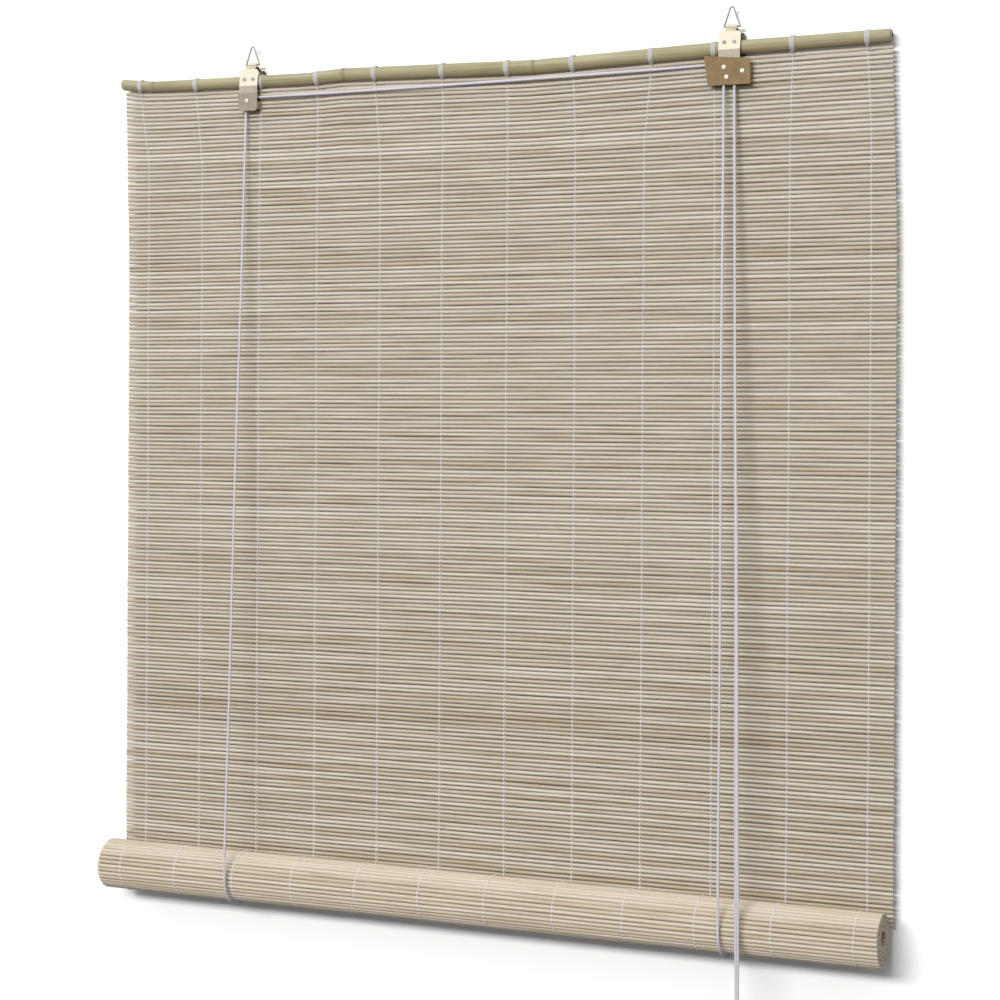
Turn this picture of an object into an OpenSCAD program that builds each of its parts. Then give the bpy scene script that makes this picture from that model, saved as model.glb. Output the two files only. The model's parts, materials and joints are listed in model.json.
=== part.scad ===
// Reed roll-up blind: a bamboo rod on two hanging straps carries a mat of thin sticks.
// The lower part of the mat is rolled up to the front and held by two lift cords.
// Units are millimetres. X runs to the viewer's right, Y to the wall, Z up.
// The origin is the seat of the left hanging ring, where its hook carries it.

/* [Mat] */
// width of the mat and of its sticks
mat_w = 800; // [740:10:900]
// diameter of one stick
stick_d = 3.4; // [3.1:0.1:3.5]
// open space between two sticks
stick_gap = 0.55; // [0.45:0.05:0.8]
// height from the first stick down to the axis of the roll
drop = 778.1; // [700:0.1:800]
// width of one warp thread
thread_w = 1.2; // [0.8:0.1:1.6]
// thickness of one warp thread
thread_t = 0.45; // [0.3:0.05:0.5]
// thickness of the web that joins the sticks
web_t = 0.9; // [0.6:0.1:1.2]

/* [Roll] */
// radius of the outermost turn at the middle of its sticks
roll_r = 24.5; // [22:0.5:27]
// number of turns
roll_turns = 4.5; // [3:0.25:5]
// room between one turn and the next
turn_gap = 0.4; // [0.3:0.05:0.6]

/* [Head rod] */
// largest diameter of the bamboo rod
rod_d = 14; // [12:0.5:14.2]
// length of rod past the mat's left side
rod_overhang = 4; // [1:0.5:8]
// how far the crooked rod dips below the line of its ends
rod_bow = 8.1; // [6:0.1:9]
// depth of the line between the rod's ends below the left ring's seat
rod_below_seat = 28.7; // [27.7:0.1:29.7]
// diameter of the hollow in the rod's ends
rod_bore_d = 5; // [3:0.5:6]
// thickness of the thread wraps round the rod
binding_d = 0.8; // [0.6:0.05:0.9]
// width of the thread wraps round the rod
band_w = 4.4; // [3:0.2:4.6]

/* [Straps and rings] */
// distance between the straps as a share of the mat's width
strap_share = 0.6275; // [0.59:0.0025:0.66]
// height of the right ring's seat above the left one
right_rise = 6; // [4:0.5:7]
// width of a strap
strap_w = 20.5; // [18:0.5:21]
// thickness of the sheet steel
sheet_t = 1; // [0.8:0.05:1]
// lean of a strap's upper part back over the rod, in degrees
strap_lean = 8; // [4:0.5:9]
// width of the strap's tongue and eye
eye_w = 10; // [8:0.5:10.5]
// wire of the hanging rings
ring_wire_d = 1.8; // [1.4:0.1:2]
// width of a hanging ring between its wire axes
ring_w = 15.4; // [14.6:0.1:16]
// height from the ring's lower bar to its seat
ring_rise = 17; // [16.5:0.5:18]
// diameter of a screw's shank
screw_d = 2.2; // [1.8:0.1:2.4]
// diameter of a screw's head
screw_head_d = 3.8; // [3.4:0.1:4.2]

/* [Pulley box and cord lock] */
// width of the left pulley box
box_w = 21.2; // [20:0.2:24]
// height of the left pulley box
box_h = 17.6; // [17:0.2:20]
// width of the cord lock
lock_w = 43.7; // [42:0.1:46]
// height of the cord lock
lock_h = 27.3; // [26.8:0.1:28.4]
// room between the front and back plates
box_room = 5.8; // [5.6:0.05:6]
// radius of a roller under the cord
roller_r = 2.2; // [2:0.05:2.3]
// radius of the left roller's collar
flange_r = 3.2; // [2.8:0.1:3.3]
// diameter of a rivet's shank
rivet_d = 2; // [1.8:0.1:2.2]
// diameter of a rivet's head
rivet_head_d = 3.8; // [3.4:0.1:4.4]
// reach of the lock cam's toothed nose from its pivot
cam_reach = 10.1; // [9.6:0.1:10.3]
// radius of the lock cam's hub
cam_hub_r = 4; // [3:0.1:4.5]

/* [Cords] */
// diameter of the lift and pull cords
cord_d = 2.4; // [2:0.1:2.4]
// diameter of the knots in the cords
knot_d = 4.8; // [4:0.1:5]
// width of the tied hank
hank_w = 22; // [20:0.5:24]
// height of the tied hank
hank_h = 60; // [54:1:66]
// depth of the tied hank
hank_depth = 21; // [19:0.5:24]
// height of the tie round the hank
tie_h = 6; // [4:0.5:9]

/* [Hidden] */
$fn = 48;
// clearance between still parts
fit = 0.05;
// clearance of soft parts and of parts that pass each other
clear = 0.3;
// clearance of a turning part on its pin
running = 0.05;
// overrun of a cut past the face it opens
over = 1;

stick_r = stick_d / 2;
pitch = stick_d + stick_gap;
strap_span = mat_w * strap_share;
mat_x = (strap_span - mat_w) / 2;
thread_lift = 0.1;
// places of the warp threads across the mat, as shares of its width
thread_shares = [0.032, 0.111, 0.194, 0.276, 0.363, 0.447, 0.5325, 0.6195, 0.705, 0.791, 0.88, 0.9735];
// places of the bindings on the rod, as shares of the mat's width
binding_shares = [0.0225, 0.105, 0.199, 0.2785, 0.3585, 0.45, 0.535, 0.619, 0.717, 0.793, 0.8855, 0.9715];

// stations of the crooked rod: place, dip and radius, as shares
rod_x_shares = [0, 0.046, 0.272, 0.319, 0.571, 0.814, 1];
rod_dip_shares = [0, 0.5, 0.74, 0.48, 1, 0.27, 0];
rod_r_shares = [0.8, 0.82, 0.9, 0.94, 1, 0.97, 0.89];
// swelling at the stations: knuckles, and bends between them
swell_shares = [1, 1.08, 1.01, 1.08, 1.08, 1.01, 1];
knuckle_share = max(swell_shares);
// stop of the rod's right end before the mat's edge
rod_short = 1;
rod_x = mat_x - rod_overhang;
rod_len = mat_w + rod_overhang - rod_short;
rod_line_z = -rod_below_seat;
rod_low_z = rod_line_z - rod_bow - rod_d / 2 * knuckle_share;
rod_last = len(rod_x_shares) - 1;
function rod_station_x(i) = rod_x + rod_len * rod_x_shares[i];
function rod_station_z(i) = rod_line_z - rod_bow * rod_dip_shares[i];
function rod_station_r(i) = rod_d / 2 * rod_r_shares[i];
function rod_z(x) = lookup(x, [for (i = [0 : rod_last]) [rod_station_x(i), rod_station_z(i)]]);
function rod_r(x) = lookup(x, [for (i = [0 : rod_last]) [rod_station_x(i), rod_station_r(i)]]);
rod_bore_len = 12;
// room between the rod and its thread wraps
band_lift = 0.2;
// thickness of a strand against the wraps
strand_share = 0.7;

mat_top_z = rod_low_z - clear - stick_r;
stick_count = floor(drop / pitch);
mat_bottom_z = mat_top_z - (stick_count - 1) * pitch;
roll_z = mat_top_z - drop;
roll_y = -roll_r;
turn_pitch = stick_d + turn_gap;
// sideways place of the roll from the mat above it
roll_shift = -3;
roll_x = mat_x + roll_shift;
// open rows, spread over each group of rows, up to a last row
open_rows = 3;
group_rows = 5;
open_row_limit = 198;
selvedge_w = 10;
slot_share = 1.8;
slot_h = stick_gap * slot_share;

// spiral of the roll: radius and stick angles, measured from the back and down
function turn_r(a) = roll_r - turn_pitch * a / 360;
roll_len = PI * roll_turns * (2 * roll_r - turn_pitch * roll_turns);
roll_sticks = floor(roll_len / pitch);
function stick_angle(i) = 360 / turn_pitch * (roll_r - sqrt(roll_r * roll_r - turn_pitch * i * pitch / PI));
function on_roll(a, r) = [roll_y + r * cos(a), roll_z - r * sin(a)];
spiral_step = 10;
thread_start = 4;
thread_end = 320;

// straps: plate faces, eye and ends
// room between the rod's knuckles and the plates
strap_lift = 1.1;
plate_y = -(rod_d / 2 * knuckle_share + strap_lift);
plate_front_y = plate_y - sheet_t;
eye_z = -ring_rise;
eye_play = 0.08;
eye_bore_r = ring_wire_d / 2 + eye_play;
eye_r = eye_bore_r + sheet_t;
tongue_h = 5.3;
plate_top_z = eye_z - tongue_h;
plate_bottom_z = -48.6;
// height where the front plate starts to lean, and its inner face above that
bend_z = -39;
function lean_y(z) = plate_y + max(0, z - bend_z) * tan(strap_lean);
plate_chamfer = 2;
back_bottom_z = -50;
tab_y = 2.6;
tab_hole_y = 5.2;
tab_hole_play = 0.2;
tab_hole_r = cord_d / 2 + tab_hole_play;
// points where the tongue runs into the eye, as shares of the eye's wall radius
tongue_out_share = 0.97;
tongue_in_share = 0.55;
// depth of the tongue's foot below the plate's faces
tongue_inset = 0.1;
eye_wall_r = (eye_bore_r + eye_r) / 2;
// bends of the ring's wire, as shares of the wire's radius
ring_bend_share = 2.2;
ring_ball_share = 1.05;
screw_x = 4.8;
screw_z = -33.5;
screw_depth = 7.2;
screw_head_t = 0.9;
slot_w = 0.6;
slot_depth = 0.4;

// pulley box and lock: common faces, places of the rivets
cover_y = plate_front_y - fit;
cover_front_y = cover_y - sheet_t;
back_plate_t = 0.8;
back_plate_y = cover_y + box_room;
back_plate_drop = 2.6;
room_side = 0.2;
spool_len = box_room - 2 * room_side;
// start of the left roller's collar, in front of the cord
collar_start = 2.8;
collar_slope = 0.4;
rivet_head_t = 0.9;
rivet_end_gap = 0.1;
box_top_z = -46.4;
box_window_h = 8.4;
box_chamfer = 2;
left_roller = [-1, -53.9];
// top of the lock below its ring's seat
lock_drop = 44.2;
lock_top_z = right_rise - lock_drop;
lock_left = -23.6;
lock_right_x = strap_span + lock_left + lock_w;
lock_slant = 3.6;
// fall of the lock's top edge to the right, and of its back plate below the cover
lock_fall = 4;
lock_back_drop = 4.4;
// places in the lock, sideways from its right side and below the ring's seat
upper_roller_place = [-24.7, -55.2];
lower_roller_place = [-22.2, -64.3];
cam_place = [-7.4, -59.4];
upper_roller = [lock_right_x, right_rise] + upper_roller_place;
lower_roller = [lock_right_x, right_rise] + lower_roller_place;
cam_pivot = [lock_right_x, right_rise] + cam_place;
// direction of the nose at rest, and the teeth along it
nose_angle = 209;
nose_half_angle = 16;
tooth_count = 5;
tooth_h = 0.8;
tooth_share = 0.7;
lock_bottom_z = lock_top_z - lock_h;

// cords: planes in the boxes, turning radius, places on the roll
cord_r = cord_d / 2;
cord_turn_r = roller_r + cord_r + fit;
cord_side = 0.1;
rear_plane_y = back_plate_y - room_side - cord_r - cord_side;
front_lean = 0.3;
front_plane_y = cover_y + room_side + cord_r + cord_side + front_lean;
bight_gap = 0.45;
bight_r = roll_r + stick_r + thread_lift + thread_t + bight_gap + cord_r;
bight_front_y = roll_y - bight_r;
bight_back_y = roll_y + bight_r;
left_bight_x = -1.6;
// sideways places of the right cord and the pull cords from the right strap's middle
right_bight_side = 3.4;
left_pull_side = 19.9;
right_pull_side = 22.8;
// sideways place of the cords' mouth from the lock's right side
pull_exit_side = -15.6;
right_bight_x = strap_span + right_bight_side;
pull_exit_x = lock_right_x + pull_exit_side;
left_pull_x = strap_span + left_pull_side;
right_pull_x = strap_span + right_pull_side;
// how far the right pull cord hangs in front of the left one
pull_depth = 2.4;
right_pull_y = bight_front_y - pull_depth;
// angle on the rollers where the cross run touches them
run_angle = 90 + atan2(upper_roller[1] - left_roller[1], upper_roller[0] - left_roller[0]);
// angle where a cord leaves a roller towards the lock's mouth
function mouth_way(roller) = [pull_exit_x, lock_bottom_z] - roller;
function leave_angle(roller) =
    atan2(mouth_way(roller)[1], mouth_way(roller)[0]) + acos(cord_turn_r / norm(mouth_way(roller)));
function on_roller(roller, a, y) = [roller[0] + cord_turn_r * cos(a), y, roller[1] + cord_turn_r * sin(a)];
// fullness of a cord where it bends
joint_share = 1.06;
joint_len = 1;
// room between the cords in the lock and the stretches below it
mouth_gap = 0.9;
knot_lift = sheet_t + knot_d / 2 + fit;

// free tails: places below the roll's axis, sideways from the tail's own place
tail_sides = 8;
hank_top = 76;
tail_drops = [0, 5, 10, 15, 20, 25, 30, 35, 40, 45, 50, 55, 60, 66, 72, 76];
tail_shifts = [0, 0, 0, 0, 0, 0, 0.1, 0.1, 0.1, 0.2, 0.2, 0.2, 0.3, 0.3, 0.4, 0.4];
hank_x = (left_pull_x + right_pull_x) / 2;
// room of the outermost turns in the hank
hank_side = 0.2;
hank_y = right_pull_y + hank_depth / 2 - cord_r - hank_side;
end_y = hank_y + hank_depth / 2 - cord_r - hank_side;
hank_z = roll_z - hank_top - hank_h / 2;
end_len = 20;
tie_t = 1;

// a straight round bar or cone from one point to another
module bar(from, to, r_from, r_to) {
    way = to - from;
    translate(from)
        rotate([0, acos(way[2] / norm(way)), atan2(way[1], way[0])])
            cylinder(h = norm(way), r1 = r_from, r2 = r_to);
}

// lifts an outline drawn in X and Z to a plate whose back face is at y
module plate(y, t) {
    translate([0, y, 0])
        rotate([90, 0, 0])
            linear_extrude(height = t)
                children();
}

// lifts an outline drawn in Y and Z along X
module along_x(x, len) {
    translate([x, 0, 0])
        rotate([90, 0, 90])
            linear_extrude(height = len)
                children();
}

// a round wire bent about the Y axis, angles from X towards Z
module arc_about_y(x, y, z, r, wire_r, start, sweep) {
    translate([x, y, z])
        rotate([90, 0, 0])
            rotate([0, 0, start])
                rotate_extrude(angle = sweep)
                    translate([r, 0])
                        circle(r = wire_r);
}

// a round wire bent about the X axis, angles from Y towards Z
module arc_about_x(x, y, z, r, wire_r, start, sweep) {
    translate([x, y, z])
        rotate([90, 0, 90])
            rotate([0, 0, start])
                rotate_extrude(angle = sweep)
                    translate([r, 0])
                        circle(r = wire_r);
}

// a turned part about the Y axis, its profile drawn as radius and distance to the front of y
module turned_y(x, y, z) {
    translate([x, y, z])
        rotate([90, 0, 0])
            rotate_extrude()
                children();
}

module rod_stretch(i) {
    bar(
        [rod_station_x(i), 0, rod_station_z(i)],
        [rod_station_x(i + 1), 0, rod_station_z(i + 1)],
        rod_station_r(i),
        rod_station_r(i + 1)
    );
}

// sets its children in the rod, pointing out along a strap's two screws
module at_screws(strap_x, seat_z) {
    for (side = [-1, 1])
        translate([strap_x + side * screw_x, 0, seat_z + screw_z])
            rotate([90 - strap_lean, 0, 0])
                children();
}

module screw_bores(strap_x, seat_z) {
    at_screws(strap_x, seat_z)
        cylinder(h = rod_d, r = screw_d / 2 + fit);
}

module head_rod() {
    color([0.72, 0.7, 0.53])
        difference() {
            union() {
                for (i = [0 : rod_last - 1])
                    rod_stretch(i);
                for (i = [1 : rod_last - 1])
                    translate([rod_station_x(i), 0, rod_station_z(i)])
                        sphere(r = rod_station_r(i) * swell_shares[i]);
            }
            screw_bores(0, 0);
            screw_bores(strap_span, right_rise);
            for (i = [0, rod_last])
                translate([rod_station_x(i), 0, rod_station_z(i)])
                    rotate([0, 90, 0])
                        cylinder(h = 2 * rod_bore_len, r = rod_bore_d / 2, center = true);
        }
}

// wraps of thread round the rod, and the two strands that run down to the first stick
module rod_binding(x) {
    inner_r = rod_r(x) + band_lift;
    r = inner_r + binding_d / 2;
    foot_y = stick_r + thread_lift + binding_d / 2;
    foot_z = mat_top_z + stick_r + clear;
    height = rod_z(x) - foot_z;
    // angle below level where a strand leaves the rod
    leave = atan2(height, foot_y) - acos(r / norm([height, foot_y]));
    side_t = binding_d * strand_share / 2;
    out = [cos(leave), -sin(leave)];
    along_x(x - band_w / 2, band_w)
        translate([0, rod_z(x)])
            difference() {
                circle(r = inner_r + binding_d);
                circle(r = inner_r);
            }
    for (side = [-1, 1])
        along_x(x - thread_w / 2, thread_w)
            polygon([
                for (end = [[r * out, 1], [[foot_y, -height], 1], [[foot_y, -height], -1], [r * out, -1]])
                    let (place = end[0] + end[1] * side_t * out)
                        [side * place[0], rod_z(x) + place[1]]
            ]);
}

module rod_bindings() {
    color([0.93, 0.93, 0.95])
        for (share = binding_shares)
            rod_binding(mat_x + mat_w * share);
}

module stick_row() {
    for (i = [0 : stick_count - 1])
        translate([0, mat_top_z - i * pitch])
            circle(r = stick_r);
}

module reed_mat() {
    color([0.84, 0.78, 0.67])
        difference() {
            along_x(mat_x, mat_w)
                union() {
                    stick_row();
                    translate([-web_t / 2, mat_bottom_z])
                        square([web_t, mat_top_z - mat_bottom_z]);
                }
            for (i = [0 : stick_count - 2])
                if (i * open_rows % group_rows < open_rows && i < open_row_limit)
                    translate([mat_x + selvedge_w, -web_t, mat_top_z - (2 * i + 1) * pitch / 2 - slot_h / 2])
                        cube([mat_w - 2 * selvedge_w, 2 * web_t, slot_h]);
        }
}

module warp_thread(x) {
    for (side = [-1, 1])
        translate([
            x - thread_w / 2,
            side * (stick_r + thread_lift + thread_t / 2) - thread_t / 2,
            mat_bottom_z - stick_r
        ])
            cube([thread_w, thread_t, mat_top_z - mat_bottom_z + 2 * stick_r]);
}

module warp_threads() {
    color([0.92, 0.92, 0.95])
        for (share = thread_shares)
            warp_thread(mat_x + mat_w * share);
}

module eye_outline() {
    difference() {
        translate([0, eye_z])
            circle(r = eye_r);
        translate([0, eye_z])
            circle(r = eye_bore_r);
    }
}

// the slanting tongue between a plate's inner face and the eye, on the front or back side
module tongue_outline(side, inner_y) {
    polygon([
        [inner_y + side * (sheet_t - tongue_inset), plate_top_z - sheet_t],
        [inner_y + side * tongue_inset, plate_top_z - sheet_t],
        [side * eye_wall_r * tongue_in_share, eye_z - eye_wall_r * sqrt(1 - tongue_in_share * tongue_in_share)],
        [side * eye_wall_r * tongue_out_share, eye_z - eye_wall_r * sqrt(1 - tongue_out_share * tongue_out_share)]
    ]);
}

module chamfered_plate(bottom_z) {
    half = strap_w / 2;
    polygon([
        [-half, bottom_z],
        [half, bottom_z],
        [half, plate_top_z - plate_chamfer],
        [half - plate_chamfer, plate_top_z],
        [plate_chamfer - half, plate_top_z],
        [-half, plate_top_z - plate_chamfer]
    ]);
}

module bent_outline() {
    polygon([
        [plate_y, plate_bottom_z],
        [plate_y, bend_z],
        [lean_y(plate_top_z + over), plate_top_z + over],
        [lean_y(plate_top_z + over) - sheet_t, plate_top_z + over],
        [plate_front_y, bend_z],
        [plate_front_y, plate_bottom_z]
    ]);
}

module strap(x, seat_z, cord_x) {
    difference() {
        translate([0, 0, seat_z])
            union() {
                intersection() {
                    along_x(x - strap_w / 2, strap_w)
                        bent_outline();
                    translate([x, 0, 0])
                        plate(0, over - plate_front_y)
                            chamfered_plate(plate_bottom_z - over);
                }
                translate([x, 0, 0])
                    plate(-plate_front_y, sheet_t)
                        chamfered_plate(back_bottom_z);
                along_x(x - eye_w / 2, eye_w) {
                    eye_outline();
                    tongue_outline(-1, lean_y(plate_top_z - sheet_t));
                    tongue_outline(1, -plate_y);
                }
                translate([x - strap_w / 2, tab_y, back_bottom_z])
                    cube([strap_w, -plate_front_y - tab_y, sheet_t]);
            }
        screw_bores(x, seat_z);
        translate([cord_x, tab_hole_y, seat_z + back_bottom_z - over])
            cylinder(h = sheet_t + 2 * over, r = tab_hole_r);
    }
}

module left_strap() {
    color([0.8, 0.77, 0.66])
        strap(0, 0, left_bight_x);
}

module right_strap() {
    color([0.8, 0.77, 0.66])
        strap(strap_span, right_rise, right_bight_x);
}

module screws(strap_x, seat_z) {
    // distance along a screw to the strap's outer face
    seat = (sheet_t - lean_y(screw_z)) * cos(strap_lean);
    at_screws(strap_x, seat_z)
        difference() {
            rotate_extrude()
                polygon([
                    [0, seat - screw_depth],
                    [screw_d / 2, seat - screw_depth],
                    [screw_d / 2, seat + fit],
                    [screw_head_d / 2, seat + fit],
                    [screw_head_d / 2, seat + screw_head_t / 2],
                    [screw_d / 2, seat + screw_head_t],
                    [0, seat + screw_head_t]
                ]);
            translate([-screw_head_d, -slot_w / 2, seat + screw_head_t - slot_depth])
                cube([2 * screw_head_d, slot_w, slot_depth + over]);
        }
}

module left_strap_screws() {
    color([0.75, 0.75, 0.76])
        screws(0, 0);
}

module right_strap_screws() {
    color([0.75, 0.75, 0.76])
        screws(strap_span, right_rise);
}

module ring(x) {
    wire_r = ring_wire_d / 2;
    // a bend's ball is a little larger than the wire, so the two cross cleanly
    ball_r = wire_r * ring_ball_share;
    bend_r = wire_r * ring_bend_share;
    top_z = wire_r - bend_r;
    half = ring_w / 2;
    // lean of a side: it runs from the bar's end to touch the top bend
    span_z = top_z - eye_z;
    reach = sqrt(half * half + span_z * span_z);
    lean = 90 - atan2(span_z, half) - asin(bend_r / reach);
    tip = [bend_r * cos(lean), top_z + bend_r * sin(lean)];
    bar([x - half, 0, eye_z], [x + half, 0, eye_z], wire_r, wire_r);
    arc_about_y(x, 0, top_z, bend_r, wire_r, lean, 180 - 2 * lean);
    for (side = [-1, 1]) {
        bar([x + side * half, 0, eye_z], [x + side * tip[0], 0, tip[1]], wire_r, wire_r);
        translate([x + side * half, 0, eye_z])
            sphere(r = ball_r);
        translate([x + side * tip[0], 0, tip[1]])
            sphere(r = ball_r);
    }
}

module left_ring() {
    color([0.7, 0.7, 0.7])
        ring(0);
}

module right_ring() {
    color([0.7, 0.7, 0.7])
        translate([0, 0, right_rise])
            ring(strap_span);
}

module roller(place) {
    turned_y(place[0], back_plate_y - room_side, place[1])
        polygon([
            [rivet_d / 2 + running, 0],
            [roller_r, 0],
            [roller_r, spool_len],
            [rivet_d / 2 + running, spool_len]
        ]);
}

// a roller whose collar keeps a single cord at the back
module collared_roller(place) {
    turned_y(place[0], back_plate_y - room_side, place[1])
        polygon([
            [rivet_d / 2 + running, 0],
            [roller_r, 0],
            [roller_r, collar_start],
            [flange_r, collar_start + collar_slope],
            [flange_r, spool_len],
            [rivet_d / 2 + running, spool_len]
        ]);
}

module rivet(place) {
    shank_len = back_plate_y + back_plate_t - rivet_end_gap - cover_front_y;
    turned_y(place[0], cover_front_y, place[1])
        polygon([
            [0, -shank_len],
            [rivet_d / 2, -shank_len],
            [rivet_d / 2, fit],
            [rivet_head_d / 2, fit],
            [rivet_head_d / 2, rivet_head_t / 2],
            [rivet_d / 2, rivet_head_t],
            [0, rivet_head_t]
        ]);
}

module rivet_holes(places) {
    for (place = places)
        translate([place[0], back_plate_y + back_plate_t + over, place[1]])
            rotate([90, 0, 0])
                cylinder(h = box_room + back_plate_t + sheet_t + 2 * over, r = rivet_d / 2 + fit / 2);
}

module box_outline(h) {
    half = box_w / 2;
    bottom_z = box_top_z - box_h;
    polygon([
        [-half, bottom_z + box_chamfer],
        [box_chamfer - half, bottom_z],
        [half - box_chamfer, bottom_z],
        [half, bottom_z + box_chamfer],
        [half, bottom_z + h],
        [-half, bottom_z + h]
    ]);
}

module pulley_box() {
    half = box_w / 2;
    wall_z = box_top_z - box_h + box_chamfer;
    depth = back_plate_y + back_plate_t - cover_front_y;
    color([0.68, 0.65, 0.53])
        difference() {
            union() {
                plate(cover_y, sheet_t)
                    box_outline(box_h);
                plate(back_plate_y + back_plate_t, back_plate_t)
                    box_outline(box_h - back_plate_drop);
                translate([-half, cover_front_y, wall_z])
                    cube([sheet_t, depth, box_h - back_plate_drop - box_chamfer]);
                translate([half - sheet_t, cover_front_y, wall_z])
                    cube([sheet_t, depth, box_h - box_window_h - box_chamfer]);
            }
            rivet_holes([left_roller]);
        }
}

module lock_outline(top_z) {
    polygon([
        [strap_span + lock_left, top_z],
        [lock_right_x, top_z - lock_fall],
        [lock_right_x, lock_bottom_z],
        [strap_span + lock_left + lock_slant, lock_bottom_z]
    ]);
}

module lock_housing() {
    depth = back_plate_y + back_plate_t - cover_front_y;
    color([0.58, 0.48, 0.33])
        difference() {
            union() {
                plate(cover_y, sheet_t)
                    lock_outline(lock_top_z);
                plate(back_plate_y + back_plate_t, back_plate_t)
                    lock_outline(lock_top_z - lock_back_drop);
                translate([lock_right_x - sheet_t, cover_front_y, lock_bottom_z])
                    cube([sheet_t, depth, lock_h - lock_fall - lock_back_drop]);
            }
            rivet_holes([upper_roller, lower_roller, cam_pivot]);
        }
}

// the nose: saw teeth on an arc about the pivot
module nose_outline() {
    step = 2 * nose_half_angle / tooth_count;
    first = nose_angle - nose_half_angle;
    polygon(concat(
        [[0, 0]],
        [
            for (i = [0 : tooth_count - 1])
                for (k = [0, 1])
                    let (r = cam_reach - k * tooth_h, a = first + (i + k * tooth_share) * step)
                        [r * cos(a), r * sin(a)]
        ],
        [[cam_reach * cos(first + 2 * nose_half_angle), cam_reach * sin(first + 2 * nose_half_angle)]]
    ));
}

module lock_cam() {
    color([0.72, 0.72, 0.74])
        translate([cam_pivot[0], back_plate_y - room_side, cam_pivot[1]])
            rotate([90, 0, 0])
                linear_extrude(height = spool_len)
                    difference() {
                        union() {
                            circle(r = cam_hub_r);
                            nose_outline();
                        }
                        circle(r = rivet_d / 2 + running);
                    }
}

module left_roller() {
    color([0.86, 0.85, 0.82])
        collared_roller(left_roller);
}

module upper_lock_roller() {
    color([0.86, 0.85, 0.82])
        roller(upper_roller);
}

module lower_lock_roller() {
    color([0.86, 0.85, 0.82])
        roller(lower_roller);
}

module left_roller_rivet() {
    color([0.85, 0.85, 0.86])
        rivet(left_roller);
}

module upper_roller_rivet() {
    color([0.85, 0.85, 0.86])
        rivet(upper_roller);
}

module lower_roller_rivet() {
    color([0.85, 0.85, 0.86])
        rivet(lower_roller);
}

module cam_rivet() {
    color([0.85, 0.85, 0.86])
        rivet(cam_pivot);
}

module cord(from, to) {
    bar(from, to, cord_r, cord_r);
}

// where a cord leaves a roller, a little fuller than the cord
module cord_joint(roller, a, y) {
    along = joint_len / 2 * [-sin(a), 0, cos(a)];
    place = on_roller(roller, a, y);
    bar(place - along, place + along, cord_r * joint_share, cord_r * joint_share);
}

// the cord's turn over a roller from one angle to the other
module cord_turn(roller, y, from, to) {
    arc_about_y(roller[0], y, roller[1], cord_turn_r, cord_r, from, to - from);
}

module back_leg(x, tab_z) {
    color([0.93, 0.93, 0.95])
        cord([x, bight_back_y, roll_z + clear], [x, tab_hole_y, tab_z - clear]);
}

module left_cord_back_leg() {
    back_leg(left_bight_x, back_bottom_z);
}

module right_cord_back_leg() {
    back_leg(right_bight_x, right_rise + back_bottom_z);
}

module left_cord_front_leg() {
    color([0.93, 0.93, 0.95])
        cord(
            [left_bight_x, bight_front_y, roll_z + clear],
            [left_roller[0] - cord_turn_r, rear_plane_y, left_roller[1] - clear]
        );
}

module right_cord_front_leg() {
    color([0.93, 0.93, 0.95])
        cord(
            [right_bight_x, bight_front_y, roll_z + clear],
            [lower_roller[0] - cord_turn_r, front_plane_y, lower_roller[1] - clear]
        );
}

module bight(x) {
    color([0.93, 0.93, 0.95])
        arc_about_x(x, roll_y, roll_z, bight_r, cord_r, 180, 180);
}

module left_cord_bight() {
    bight(left_bight_x);
}

module right_cord_bight() {
    bight(right_bight_x);
}

module left_cord_cross_run() {
    leave = leave_angle(upper_roller);
    color([0.93, 0.93, 0.95]) {
        cord_turn(left_roller, rear_plane_y, run_angle, 180);
        cord_joint(left_roller, run_angle, rear_plane_y);
        cord(on_roller(left_roller, run_angle, rear_plane_y), on_roller(upper_roller, run_angle, rear_plane_y));
        cord_joint(upper_roller, run_angle, rear_plane_y);
        cord_turn(upper_roller, rear_plane_y, leave, run_angle);
        cord_joint(upper_roller, leave, rear_plane_y);
        cord(on_roller(upper_roller, leave, rear_plane_y), [pull_exit_x, rear_plane_y, lock_bottom_z]);
    }
}

module right_cord_turn() {
    leave = leave_angle(lower_roller);
    color([0.93, 0.93, 0.95]) {
        cord_turn(lower_roller, front_plane_y, leave, 180);
        cord_joint(lower_roller, leave, front_plane_y);
        cord(on_roller(lower_roller, leave, front_plane_y), [pull_exit_x, front_plane_y, lock_bottom_z]);
    }
}

module back_leg_knot(x, tab_z) {
    translate([x, tab_hole_y, tab_z])
        cylinder(h = knot_d, r = cord_r);
    translate([x, tab_hole_y, tab_z + knot_lift])
        sphere(r = knot_d / 2);
}

module back_leg_knots() {
    color([0.93, 0.93, 0.95]) {
        back_leg_knot(left_bight_x, back_bottom_z);
        back_leg_knot(right_bight_x, right_rise + back_bottom_z);
    }
}

module left_pull_leg() {
    color([0.93, 0.93, 0.95])
        cord(
            [left_pull_x, bight_front_y, roll_z + clear],
            [pull_exit_x, rear_plane_y, lock_bottom_z - mouth_gap]
        );
}

module right_pull_leg() {
    color([0.93, 0.93, 0.95])
        cord(
            [right_pull_x, right_pull_y, roll_z + clear],
            [pull_exit_x, front_plane_y, lock_bottom_z - mouth_gap]
        );
}

// a thin strip along the spiral between two radii beside the sticks' middle line
module spiral_strip(inner, outer, first, last) {
    steps = ceil((last - first) / spiral_step);
    turn = [for (i = [0 : steps]) first + (last - first) * i / steps];
    polygon(concat(
        [for (a = turn) on_roll(a, turn_r(a) + outer)],
        [for (i = [steps : -1 : 0]) on_roll(turn[i], turn_r(turn[i]) + inner)]
    ));
}

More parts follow.
